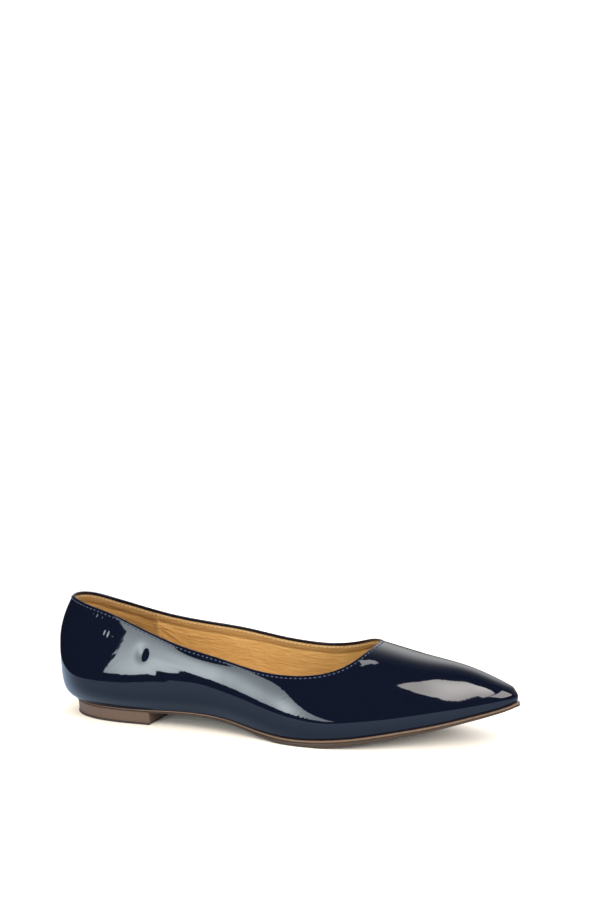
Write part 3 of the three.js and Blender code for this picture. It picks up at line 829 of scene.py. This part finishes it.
# %% [markdown]
# ## Stitches
# One row runs round outside, just under the fold, in navy thread, and one inside in pale
# thread. A third closes the seam of the lining's heel part. Each stitch is a short bent bar
# whose ends dip into the leather, which is how a lockstitch shows. The rows' lines, lengths
# and radii are in mm.

# %% Stitches
def stitch_row(name, centres, run, up, length, radius, material):
    """All stitches of a row as one mesh.

    A bar of 7 rings with 8 points: the radius swells in the middle as the root of a sine, and
    the bar's middle stands out as a sine of its height."""
    count = len(centres)
    t = np.linspace(0, 1, 7)
    around = np.linspace(0, 2 * np.pi, 9)
    thick = radius * np.sin(np.pi * (0.04 + 0.92 * t)) ** 0.5
    thick[[0, -1]] = 0
    lift = radius * (0.9 * np.sin(np.pi * t) - 0.55)
    local = np.stack(np.broadcast_arrays(
        ((t - 0.5) * length)[:, None],
        thick[:, None] * np.cos(around),
        lift[:, None] + thick[:, None] * np.sin(around),
    ), -1)
    side_way = unit(np.cross(up, run))
    axes = np.stack([unit(run), side_way, up], 1)
    points = np.einsum("rac,ncx->nrax", local, axes) + centres[:, None, None]
    sheets = [(grid(points[i]), False, 0) for i in range(count)]
    make_piece(name, sheets, material, None)


def even_places(line, pitch):
    """Places at an even pitch on a line of points, as decimal indices."""
    length = travelled(line)
    count = int(round(length[-1] / pitch))
    wanted = (np.arange(count) + 0.5) * length[-1] / count
    return np.interp(wanted, length, np.arange(len(line)))


def runs_at(line, place):
    """The line's direction at decimal indices, from its central differences."""
    index = np.arange(len(line))
    return np.stack([np.interp(place, index, c) for c in np.gradient(line, axis=0).T], -1)


def row_of_stitches(distance, depth, pitch):
    """Centres, runs and normals of a row at a distance below the topline on both sides."""
    found = []
    for side in (LATERAL, MEDIAL):
        steps = np.linspace(0, 1, 600)
        angle, share = beside_topline(steps, side, distance)
        line = last_point(angle, share, side)
        place = even_places(line, pitch)
        fine = np.arange(len(line))
        angle, share = np.interp(place, fine, angle), np.interp(place, fine, share)
        normal = last_normal(angle, share, side)
        run = runs_at(line, place)
        place = last_point(angle, share, side)
        place = place + (waist_bulge(place, side, distance) - depth)[..., None] * normal
        found.append((place, run, normal))
    return [np.concatenate(parts) for parts in zip(*found)]


stitch_pitch, seam_pitch = 2.6, 2.3
outer_row, inner_row = 1.15, 1.9
centres, run, normal = row_of_stitches(outer_row, 0.0, stitch_pitch)
stitch_row("topline_stitches", centres, run, normal, 1.9, 0.36, thread_navy_and_sheen)
centres, run, normal = row_of_stitches(inner_row, lining_inner + 0.22, stitch_pitch)
stitch_row("lining_stitches", centres, run, -normal, 1.8, 0.28, thread_pale)

seam_angle = float(angle_of((heel_seam_x + 1.0) / feather_length))
seam_depth = lining_inner + 0.05
shares = np.linspace(0.15, 0.62, 200)
seam_stitches = []
for side in (LATERAL, MEDIAL):
    line = last_point(seam_angle, shares, side) - seam_depth * last_normal(seam_angle, shares, side)
    place = even_places(line, seam_pitch)
    share_at = np.interp(place, np.arange(200), shares)
    normal = last_normal(seam_angle, share_at, side)
    centre = last_point(seam_angle, share_at, side) - seam_depth * normal
    seam_stitches.append((centre, runs_at(line, place), normal))
centres, run, normal = [np.concatenate(parts) for parts in zip(*seam_stitches)]
stitch_row("heel_lining_stitches", centres, run, -normal, 1.6, 0.24, thread_pale)

# %% [markdown]
# ## Insock
# A tan leather sock lies on the insole board, a little dished, and reaches the lining all
# round. Its border is the line on the lining's inside at the sock's height.

# %% Insock
sock_up, sock_thickness, sock_dish = 4.0, 1.0, 0.6
sheets = []
for side in (LATERAL, MEDIAL):
    angles = np.linspace(0, 1, 140)
    share = np.linspace(0, 0.3, 60)[:, None]
    wall = last_point(angles, share, side) - lining_inner * last_normal(angles, share, side)
    up = wall[..., 2] - seat_height(wall[..., 0])
    row = np.abs(up - sock_up).argmin(0)
    border = wall[row, np.arange(len(angles))]
    middle = np.stack([np.clip(middle_x(angles), heel_round * fan, feather_length - 9), 0 * angles], -1)
    border[[0, -1], 1] = 0
    inward = np.linspace(0, 1, 12)[:, None, None]
    flat = border[:, :2] * (1 - inward) + middle * inward
    dish = sock_dish * (1 - (1 - inward[..., 0]) ** 2)
    top = np.concatenate([flat, (seat_height(flat[..., 0]) + sock_up - dish)[..., None]], -1)
    below = top - [0, 0, sock_thickness]
    skirt = np.stack([below[0], top[0]])
    flip = side > 0
    sheets += [(grid(skirt), flip, 0), (grid(top), flip, 0), (grid(below[::-1]), flip, 0)]
make_piece("insock", sheets, lining_leather, "insole", sharp=40)

# %% [markdown]
# ## Outsole
# A thin moulded sole with a pale rounded bead along its top edge, a groove under it and a
# darker lower lip. It is thin at the waist and full under the ball. One profile runs round the
# edge line. Its rows are an inset from that line and a height: the bead's bow, then shares of
# the groove's and of the lip's height.

# %% Outsole
sole_angles = np.concatenate([np.linspace(1, 0, 260), np.linspace(0, 1, 260)[1:]])
sole_sides = np.concatenate([np.full(260, LATERAL), np.full(259, MEDIAL)])
edge_parts = [sole_edge(sole_angles[sole_sides == side], side) for side in (LATERAL, MEDIAL)]
out_parts = [outline(sole_angles[sole_sides == side], side)[1] for side in (LATERAL, MEDIAL)]
edge_line, edge_out = np.concatenate(edge_parts), np.concatenate(out_parts)
seat = seat_height(edge_line[:, 0])
thickness = seat - tread_height(edge_line[:, 0])
bead = np.minimum(0.8, 0.32 * thickness)
groove = np.minimum(0.45, 0.16 * thickness)
lip = thickness - bead - groove
bow = np.linspace(np.pi / 2, -np.pi / 2, 9)
bead_bow, groove_depth = 0.30, 0.42
groove_rows = ((0.25, groove_depth), (0.75, groove_depth), (1.0, 0.18))
lip_rows = ((0.12, 0.06), (0.3, 0.02), (0.6, 0.08), (0.82, 0.24), (0.95, 0.55), (1.0, 0.95))
profile = [(-1.5, seat)]
profile += [(bead_bow * (np.cos(t) - 1), seat - bead / 2 + bead / 2 * np.sin(t)) for t in bow]
profile += [(-inset, seat - bead - share * groove) for share, inset in groove_rows]
profile += [(-inset, seat - bead - groove - share * lip) for share, inset in lip_rows]
wall_of_sole = np.stack([
    np.concatenate([edge_line + edge_out * reach, up[:, None]], -1) for reach, up in profile
])
middle = np.stack([np.clip(middle_x(sole_angles), heel_round * fan, feather_length - 4), 0 * sole_angles], -1)
inward = np.linspace(0, 1, 16)[:, None, None]
under_plan = wall_of_sole[-1, :, :2] * (1 - inward) + middle * inward
underside = np.concatenate([under_plan, tread_height(under_plan[..., 0])[..., None]], -1)
underside[0] = wall_of_sole[-1]
over_plan = wall_of_sole[0, :, :2] * (1 - inward) + middle * inward
topside = np.concatenate([over_plan, seat_height(over_plan[..., 0])[..., None]], -1)[::-1]
topside[-1] = wall_of_sole[0]
length = travelled(edge_line)
last_bead = len(bow)
make_piece("outsole_unit", [
    (grid(topside), False, 0),
    (grid(wall_of_sole[:last_bead + 1], length, 0), False, 1),
    (grid(wall_of_sole[last_bead:], length, 0), False, 0),
    (grid(underside), False, 2),
], [sole_rubber, bead_rubber, sole_tread], "outsole", sharp=50)

# %% [markdown]
# ## Heel
# A low block with a straight front, a little smaller toward the floor, on a thin dark top
# piece with a ribbed edge. One closed ring in plan makes both: the sole's edge line moved in,
# and the front line across, with its corners rounded by a short moving average. The block
# reaches a little into the sole, as the glue line of a real heel can't be seen.

# %% Heel
breast_at, breast_turn = 55.5, np.radians(6)
heel_inset, heel_taper = 0.5, 0.7
top_piece, top_reach = 1.2, 0.25
heel_sink, plate_gap = 0.15, 0.05


def heel_ring(inset, spacing=0.3, corner=1.6):
    """The heel's outline in plan at an even spacing, with corners rounded over a length."""
    parts = []
    for side in (LATERAL, MEDIAL):
        angles = np.linspace(0, float(angle_of(0.3)), 900)
        line = sole_edge(angles, side, -inset)
        parts.append(line[line[:, 0] <= breast_at + line[:, 1] * np.tan(breast_turn)])
    ring = np.concatenate([parts[0][::-1], parts[1][1:], parts[0][-1:]])
    length = travelled(ring)
    count = int(round(length[-1] / spacing))
    wanted = np.arange(count) * length[-1] / count
    even = np.stack([np.interp(wanted, length, c) for c in ring.T], -1)
    reach = int(round(corner / spacing / 2))
    even = sum(np.roll(even, k, axis=0) for k in range(-reach, reach + 1)) / (2 * reach + 1)
    return np.concatenate([even, even[:1]]), np.append(wanted, length[-1])


def stack_rings(rings, heights_of):
    """Rows of a closed wall from plan rings and their heights."""
    heights_of = [np.broadcast_to(h, len(r))[:, None] for r, h in zip(rings, heights_of)]
    return np.stack([np.concatenate([r, h], -1) for r, h in zip(rings, heights_of)])


def cap(row, flip):
    """A flat fan of a few rows from a ring to its middle."""
    centre = row[:-1].mean(0)
    inward = np.linspace(0, 1, 6)[:, None, None]
    return grid(row * (1 - inward) + centre * inward), flip, 0


top_ring, along_ring = heel_ring(heel_inset)
base_ring, _ = heel_ring(heel_inset + heel_taper)
share = np.linspace(0, 1, 10)[:, None, None]
matching = np.linspace(0, len(base_ring) - 1, len(top_ring)).round().astype(int)
rings = top_ring * (1 - share) + base_ring[matching] * share
top_height = tread_height(top_ring[:, 0]) + heel_sink
share = share[:, :, 0]
block = stack_rings(rings, top_height * (1 - share) + (top_piece + plate_gap) * share)
make_piece("heel_block", [
    (grid(block, along_ring, 0), False, 0), cap(block[0], True), cap(block[-1], False),
], heel_rubber, "heel", sharp=50)

rib_pitch, rib_depth = 1.8, 0.22
ring, along_ring = heel_ring(heel_inset + heel_taper - top_reach, spacing=0.2, corner=1.2)
run = np.roll(ring[:-1], -1, axis=0) - np.roll(ring[:-1], 1, axis=0)
run = np.concatenate([run, run[:1]])
outward = unit(np.stack([run[:, 1], -run[:, 0]], -1))
outward *= np.sign((outward * (ring - ring[:-1].mean(0))).sum(-1).mean())
ribs = round(along_ring[-1] / rib_pitch)
wave = np.abs(np.cos(np.pi * ribs * along_ring / along_ring[-1]))[:, None] ** 0.6 - 1
# height, reach and share of the ribs' depth of the plate's rings
levels = ((top_piece, -0.25, 0.3), (top_piece - 0.1, 0, 1), (0.22, 0, 1), (0, -0.22, 0.8))
rings = [ring + outward * (reach + rib_depth * depth * wave) for _, reach, depth in levels]
plate = stack_rings(rings, [z for z, _, _ in levels])
make_piece("heel_top_piece_ribbed", [
    (grid(plate, along_ring, 0), False, 0), cap(plate[0], True), cap(plate[-1], False),
], tread_rubber, "heel_top_piece", sharp=50)

# %% [markdown]
# ## Floor, light and camera
# Patent leather looks deep because its gloss sees a dark studio with a few bright panels. A
# photographer cuts them to shape with cards. Soft warm light from all round falls on what is
# matt, and plain white stands behind the shoe.
#
# White paper is nearly white to the eye. Mirrored in the lacquer over the sole it is the slate
# band there. To glossy rays it is given a cool grey-blue colour: a painted reflection tone.

# %% Floor
left, right, front, back = -0.22, 1.6, -2.0, 0.6
mesh = bpy.data.meshes.new("floor")
mesh.from_pydata([(left, front, 0), (right, front, 0), (right, back, 0), (left, back, 0)], [], [(0, 1, 2, 3)])
floor = put("floor", mesh)
paper, tree, shader = new_material("paper_white_painted_reflection", {"Roughness": 0.9, "Specular IOR Level": 0.0})
mirrored = add_node(tree, "ShaderNodeLightPath").outputs["Is Glossy Ray"]
# Painted reflection: to glossy rays the paper is a cool grey-blue, to all other rays white.
tree.links.new(add_mix(tree, mirrored, "#f6f2ec", "#a9c2e2"), shader.inputs["Base Color"])
mesh.materials.append(paper)

# %% World
world = bpy.data.worlds.new("studio")
bpy.context.scene.world = world
world.use_nodes = True
tree = world.node_tree
tree.nodes.clear()
path = add_node(tree, "ShaderNodeLightPath")


def background(tone, strength):
    """An even sky of one linear colour."""
    return add_node(tree, "ShaderNodeBackground", inputs={"Color": tone, "Strength": strength}).outputs[0]


def choose(ray, first, second):
    """The second sky for this kind of ray, else the first."""
    links = {"Fac": path.outputs[ray], 1: first, 2: second}
    return add_node(tree, "ShaderNodeMixShader", links).outputs["Shader"]


warm, white = (1.0, 0.905, 0.80, 1), (1, 1, 1, 1)
sky = choose("Is Glossy Ray", background(warm, 2.1), background(white, 0.01))
sky = choose("Is Camera Ray", sky, background(white, 1.15))
add_node(tree, "ShaderNodeOutputWorld", {"Surface": sky})

# %% [markdown]
# The daylight panel and its upper flap stand low at the front left and give the long highlight
# on the quarter. The softbox at the front right gives the one on the toe: a main part, a tail
# that runs to the tip and a low part that makes the hook there. A small panel overhead gives
# the glint beside the throat. The backdrop behind the shoe lights the ridge of the vamp, and
# its glow fades upward, so the ridge's light fades down the side.

# %% Light panels
def on_sphere(azimuth, elevation, distance):
    """A place seen from the shoe's middle: azimuth 0 is in front of its outer side, and grows
    toward the toe. x = sin(a) cos(e), y = -cos(a) cos(e), z = sin(e), times the distance."""
    a, e = np.radians(azimuth), np.radians(elevation)
    return np.stack([np.sin(a) * np.cos(e), -np.cos(a) * np.cos(e), np.sin(e)], -1) * distance + [0, 0, 0.03]


def light_panel(name, corners, distance, edge, peak, centre, spread, tone):
    """A glowing panel between four (azimuth, elevation) corners, brighter around a centre.

    Places are the bilinear mean of the corners. The radiance is edge + (peak - edge) *
    exp(-(azimuth off centre / spread)^2 - (elevation off centre / spread)^2)."""
    u, v = np.meshgrid(np.linspace(0, 1, 33), np.linspace(0, 1, 25))
    c = np.array(corners, float)
    place = ((1 - u) * (1 - v))[..., None] * c[0] + (u * (1 - v))[..., None] * c[1]
    place = place + (u * v)[..., None] * c[2] + ((1 - u) * v)[..., None] * c[3]
    points = on_sphere(place[..., 0], place[..., 1], distance).reshape(-1, 3)
    off = ((place - centre) / spread) ** 2
    glow = edge + (peak - edge) * np.exp(-off.sum(-1))
    at = np.arange(u.size).reshape(u.shape)
    faces = np.stack([at[:-1, :-1], at[:-1, 1:], at[1:, 1:], at[1:, :-1]], -1).reshape(-1, 4)
    mesh = bpy.data.meshes.new(name)
    mesh.from_pydata(points.tolist(), [], faces.tolist())
    layer = mesh.attributes.new("glow", "FLOAT", "POINT")
    layer.data.foreach_set("value", glow.ravel())
    material = bpy.data.materials.new(name)
    material.use_nodes = True
    tree = material.node_tree
    tree.nodes.clear()
    value = add_node(tree, "ShaderNodeAttribute", attribute_name="glow")
    lamp = add_node(tree, "ShaderNodeEmission", {"Strength": value.outputs["Fac"]}, {"Color": colour(tone)})
    add_node(tree, "ShaderNodeOutputMaterial", {"Surface": lamp.outputs["Emission"]})
    mesh.materials.append(material)
    panel = put(name, mesh)
    panel.visible_camera = False
    panel.visible_shadow = False


daylight = (6, 17.5, (-21, 8), (11, 9), "#eefbff")
light_panel("panel_front_left", [(-32.5, 3.5), (4, 3.5), (-16, 20), (-27.5, 18)], 1.1, *daylight)
light_panel("panel_front_left_flap", [(-27.5, 18), (-12, 17), (-19, 24), (-32, 31)], 1.1, *daylight)
softbox = (10.5, 18, (50, 42), (7, 10), "#fffaf4")
light_panel("panel_front_right", [(32, 50), (45, 36), (50.5, 47), (53, 55)], 1.1, *softbox)
light_panel("panel_front_right_tail", [(45, 24), (52, 30), (50.5, 47), (43, 38)], 1.1, *softbox)
light_panel("panel_front_right_low", [(46, 24), (54, 15), (83, 22), (66, 37)], 1.1, *softbox)
light_panel("panel_high", [(33, 66), (42, 70), (70, 77), (46, 75)], 1.1, 8, 8, (40, 72), (9, 9), "#ffffff")
ridge_glow = (0.1, 2.6, (172, 40), (54, 26), "#ffffff")
light_panel("backdrop", [(95, 8), (225, 8), (215, 84), (70, 84)], 1.4, *ridge_glow)

# %% [markdown]
# The camera's place, turn and focal length were worked out from the photograph: the feather
# line, the topline and the heel's corners of the solids fall on their counterparts there.

# %% Camera
frame_height = 900
focal_pixels = 1110.0
camera_place = np.array([0.1562, -0.5978, 0.1798])
camera_azimuth, camera_pitch, camera_roll = 0.2404, 0.0412, 0.0132
right = np.array([np.cos(camera_azimuth), np.sin(camera_azimuth), 0])
forward = np.array([
    -np.sin(camera_azimuth) * np.cos(camera_pitch),
    np.cos(camera_azimuth) * np.cos(camera_pitch),
    -np.sin(camera_pitch),
])
up = np.cross(right, forward)
rolled_right = np.cos(camera_roll) * right + np.sin(camera_roll) * up
rolled_up = -np.sin(camera_roll) * right + np.cos(camera_roll) * up
lens = bpy.data.cameras.new("camera")
lens.sensor_fit = "AUTO"
lens.sensor_width = 36.0
lens.lens = focal_pixels * lens.sensor_width / frame_height
camera = put("camera", lens)
stand = np.eye(4)
stand[:3, 0], stand[:3, 1], stand[:3, 2] = rolled_right, rolled_up, -forward
stand[:3, 3] = camera_place
camera.matrix_world = Matrix(stand.tolist())
bpy.context.scene.camera = camera
bpy.context.scene.view_settings.view_transform = "Standard"
print("lens %.2f mm" % lens.lens)

# %% [markdown]
# A last line of output.

# %% Finish
print("end of the script")
